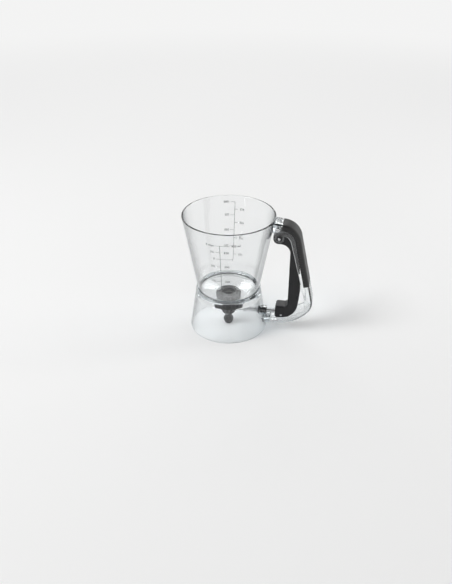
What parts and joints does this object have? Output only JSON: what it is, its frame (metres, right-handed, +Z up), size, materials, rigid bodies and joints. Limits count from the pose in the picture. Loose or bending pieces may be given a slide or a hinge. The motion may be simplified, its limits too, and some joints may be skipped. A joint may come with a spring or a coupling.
{
  "type": "pancake batter dispenser",
  "caption": "Clear conical batter jug on a clear flared stand, with a squeeze trigger inside the handle that pulls a sliding gate from under the outlet and its drip nozzle.",
  "frame": {"origin": "on the cup's axis, in the plane that the stand's foot ring rests on", "axes": "+Z up along the cup's axis, +X towards the handle, +Y to the left of someone who looks along +X"},
  "size_m": [0.1927, 0.1338, 0.183],
  "materials": {
    "container": "clear, polished",
    "base_skirt": "clear, polished",
    "handle_frame": "clear, polished",
    "grip_pad": "black, fine ribs",
    "handle_screws": "plain steel",
    "pivot_pin": "plain steel",
    "pivot_clips": "plain steel",
    "trigger_lever": "near-black, satin",
    "link_pin": "plain steel",
    "pull_rod": "bright, brushed along its length",
    "gate_blade": "bright",
    "gate_rivet": "bright",
    "rod_collar": "bright",
    "return_spring": "drawn wire",
    "rod_bushing": "black",
    "neck_gasket": "silicone",
    "lock_ring": "black",
    "valve_body": "black",
    "valve_base": "black",
    "valve_screws": "plain steel",
    "gate_seals": "silicone",
    "nozzle_collar": "black",
    "nozzle_tip": "dark silicone, satin"
  },
  "bodies": {
    "cup": {"container": "container", "base_skirt": "base_skirt", "handle_frame": "handle_frame", "grip_pad": "grip_pad", "handle_screws": "handle_screws", "pivot_pin": "pivot_pin", "pivot_clips": "pivot_clips", "return_spring": "return_spring", "rod_bushing": "rod_bushing", "neck_gasket": "neck_gasket", "lock_ring": "lock_ring", "valve_body": "valve_body", "valve_base": "valve_base", "valve_screws": "valve_screws", "gate_seals": "gate_seals", "nozzle_collar": "nozzle_collar", "nozzle_tip": "nozzle_tip"},
    "trigger": {"trigger_lever": "trigger_lever", "link_pin": "link_pin"},
    "gate": {"pull_rod": "pull_rod", "gate_blade": "gate_blade", "gate_rivet": "gate_rivet", "rod_collar": "rod_collar"}
  },
  "joints": [
    {"name": "trigger_pivot", "type": "hinge", "parent": "cup", "child": "trigger", "pos_m": [0.07381, 0, 0.157], "axis": [0, -1, 0], "range_deg": [0, 5.15], "stiffness_Nm_per_rad": 4, "springref_deg": -2.29},
    {"name": "gate_slide", "type": "slide", "parent": "cup", "child": "gate", "axis": [1, 0, 0], "range_m": [0, 0.0116], "deforming": ["return_spring"]}
  ],
  "couplings": [
    {"joint": "gate_slide", "follows": "trigger_pivot", "m_per_rad": 0.12851}
  ]
}
